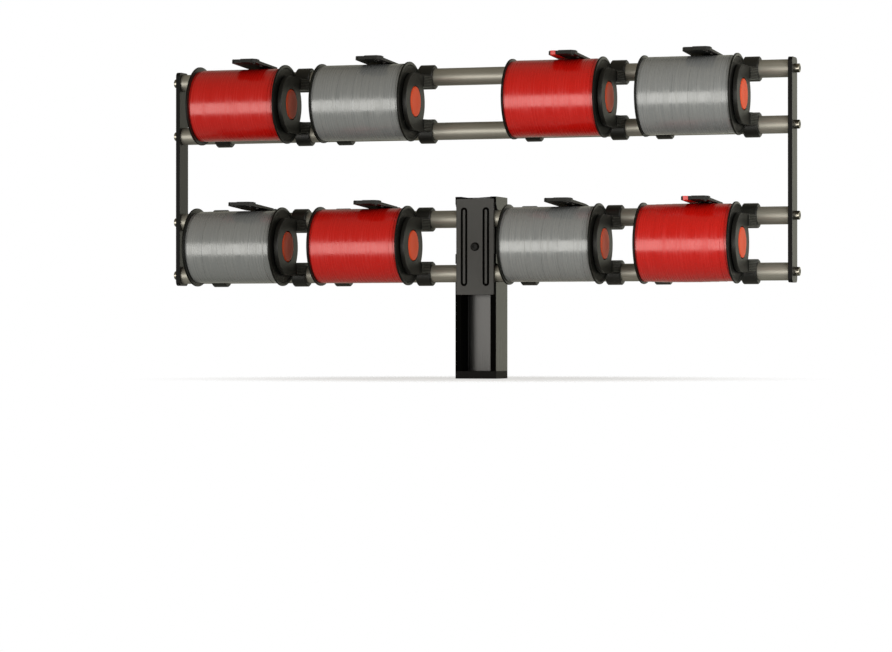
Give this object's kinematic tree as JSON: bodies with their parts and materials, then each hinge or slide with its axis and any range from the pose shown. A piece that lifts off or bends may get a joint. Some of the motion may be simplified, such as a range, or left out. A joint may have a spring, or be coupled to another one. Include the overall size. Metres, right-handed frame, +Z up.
{
  "type": "ribbon spool dispenser",
  "caption": "Post-mounted rack of paired round tubes carrying ribbon spools on clip-on holders with push buttons and ribbon cutters.",
  "frame": {"origin": "centre of the foot's four bolt holes, on its underside", "axes": "+X along the tubes to the right, -Y to the front where the spools are, +Z up"},
  "size_m": [0.746, 0.1328, 0.3647],
  "materials": {
    "black_aluminium": "satin black anodised",
    "black_steel": "black powder coat",
    "grey_steel": "dark grey satin coat",
    "satin_aluminium": "satin",
    "bright_steel": "bright zinc",
    "black_moulding": "moulded",
    "spool_plastic": "gloss",
    "red_button": "moulded red",
    "red_ribbon": "satin ribbon",
    "silver_ribbon": "metallic grey ribbon"
  },
  "bodies": {
    "rack": {"foot_block": "black_aluminium", "post": "black_aluminium", "clamp_plate": "grey_steel", "clamp_block": "black_aluminium", "clamp_screw": "black_steel", "foot_screws": "bright_steel", "end_plate_left": "black_steel", "end_plate_right": "black_steel", "tube_1": "satin_aluminium", "tube_2": "satin_aluminium", "tube_3": "satin_aluminium", "tube_4": "satin_aluminium", "tube_plugs": "bright_steel", "end_screws": "bright_steel", "holder_screws": "bright_steel", "cutter_blades": "black_steel", "blade_screws": "bright_steel", "holder_top_1": "black_moulding", "holder_top_2": "black_moulding", "holder_top_3": "black_moulding", "holder_top_4": "black_moulding", "holder_bottom_1": "black_moulding", "holder_bottom_2": "black_moulding", "holder_bottom_3": "black_moulding", "holder_bottom_4": "black_moulding", "cutter_top_1": "black_moulding", "cutter_top_2": "black_moulding", "cutter_top_3": "black_moulding", "cutter_top_4": "black_moulding", "cutter_bottom_1": "black_moulding", "cutter_bottom_2": "black_moulding", "cutter_bottom_3": "black_moulding", "cutter_bottom_4": "black_moulding", "ribbon_end_top_3": "red_ribbon", "ribbon_end_bottom_4": "red_ribbon"},
    "turning_spool_top_1": {"spool_top_1": "spool_plastic", "ribbon_top_1": "red_ribbon"},
    "push_button_top_1": {"button_top_1": "red_button"},
    "turning_spool_top_2": {"spool_top_2": "spool_plastic", "ribbon_top_2": "silver_ribbon"},
    "push_button_top_2": {"button_top_2": "red_button"},
    "turning_spool_top_3": {"spool_top_3": "spool_plastic", "ribbon_top_3": "red_ribbon"},
    "push_button_top_3": {"button_top_3": "red_button"},
    "turning_spool_top_4": {"spool_top_4": "spool_plastic", "ribbon_top_4": "silver_ribbon"},
    "push_button_top_4": {"button_top_4": "red_button"},
    "turning_spool_bottom_1": {"spool_bottom_1": "spool_plastic", "ribbon_bottom_1": "silver_ribbon"},
    "push_button_bottom_1": {"button_bottom_1": "red_button"},
    "turning_spool_bottom_2": {"spool_bottom_2": "spool_plastic", "ribbon_bottom_2": "red_ribbon"},
    "push_button_bottom_2": {"button_bottom_2": "red_button"},
    "turning_spool_bottom_3": {"spool_bottom_3": "spool_plastic", "ribbon_bottom_3": "silver_ribbon"},
    "push_button_bottom_3": {"button_bottom_3": "red_button"},
    "turning_spool_bottom_4": {"spool_bottom_4": "spool_plastic", "ribbon_bottom_4": "red_ribbon"},
    "push_button_bottom_4": {"button_bottom_4": "red_button"}
  },
  "joints": [
    {"name": "spool_top_1_turn", "type": "hinge", "parent": "rack", "child": "turning_spool_top_1", "pos_m": [-0.26637, -0.06329, 0.313], "axis": [1, 0, 0], "continuous": true},
    {"name": "button_top_1_press", "type": "slide", "parent": "rack", "child": "push_button_top_1", "axis": [-1, 0, 0], "range_m": [0, 0.004], "stiffness_N_per_m": 400, "springref_m": -0.003},
    {"name": "spool_top_2_turn", "type": "hinge", "parent": "rack", "child": "turning_spool_top_2", "pos_m": [-0.11663, -0.06329, 0.313], "axis": [1, 0, 0], "continuous": true},
    {"name": "button_top_2_press", "type": "slide", "parent": "rack", "child": "push_button_top_2", "axis": [-1, 0, 0], "range_m": [0, 0.004], "stiffness_N_per_m": 400, "springref_m": -0.003},
    {"name": "spool_top_3_turn", "type": "hinge", "parent": "rack", "child": "turning_spool_top_3", "pos_m": [0.11047, -0.06329, 0.313], "axis": [1, 0, 0], "continuous": true},
    {"name": "button_top_3_press", "type": "slide", "parent": "rack", "child": "push_button_top_3", "axis": [-1, 0, 0], "range_m": [0, 0.004], "stiffness_N_per_m": 400, "springref_m": -0.003},
    {"name": "spool_top_4_turn", "type": "hinge", "parent": "rack", "child": "turning_spool_top_4", "pos_m": [0.26299, -0.06329, 0.313], "axis": [1, 0, 0], "continuous": true},
    {"name": "button_top_4_press", "type": "slide", "parent": "rack", "child": "push_button_top_4", "axis": [-1, 0, 0], "range_m": [0, 0.004], "stiffness_N_per_m": 400, "springref_m": -0.003},
    {"name": "spool_bottom_1_turn", "type": "hinge", "parent": "rack", "child": "turning_spool_bottom_1", "pos_m": [-0.27092, -0.06329, 0.1505], "axis": [1, 0, 0], "continuous": true},
    {"name": "button_bottom_1_press", "type": "slide", "parent": "rack", "child": "push_button_bottom_1", "axis": [-1, 0, 0], "range_m": [0, 0.004], "stiffness_N_per_m": 400, "springref_m": -0.003},
    {"name": "spool_bottom_2_turn", "type": "hinge", "parent": "rack", "child": "turning_spool_bottom_2", "pos_m": [-0.11928, -0.06329, 0.1505], "axis": [1, 0, 0], "continuous": true},
    {"name": "button_bottom_2_press", "type": "slide", "parent": "rack", "child": "push_button_bottom_2", "axis": [-1, 0, 0], "range_m": [0, 0.004], "stiffness_N_per_m": 400, "springref_m": -0.003},
    {"name": "spool_bottom_3_turn", "type": "hinge", "parent": "rack", "child": "turning_spool_bottom_3", "pos_m": [0.10511, -0.06329, 0.1505], "axis": [1, 0, 0], "continuous": true},
    {"name": "button_bottom_3_press", "type": "slide", "parent": "rack", "child": "push_button_bottom_3", "axis": [-1, 0, 0], "range_m": [0, 0.004], "stiffness_N_per_m": 400, "springref_m": -0.003},
    {"name": "spool_bottom_4_turn", "type": "hinge", "parent": "rack", "child": "turning_spool_bottom_4", "pos_m": [0.26123, -0.06329, 0.1505], "axis": [1, 0, 0], "continuous": true},
    {"name": "button_bottom_4_press", "type": "slide", "parent": "rack", "child": "push_button_bottom_4", "axis": [-1, 0, 0], "range_m": [0, 0.004], "stiffness_N_per_m": 400, "springref_m": -0.003}
  ]
}
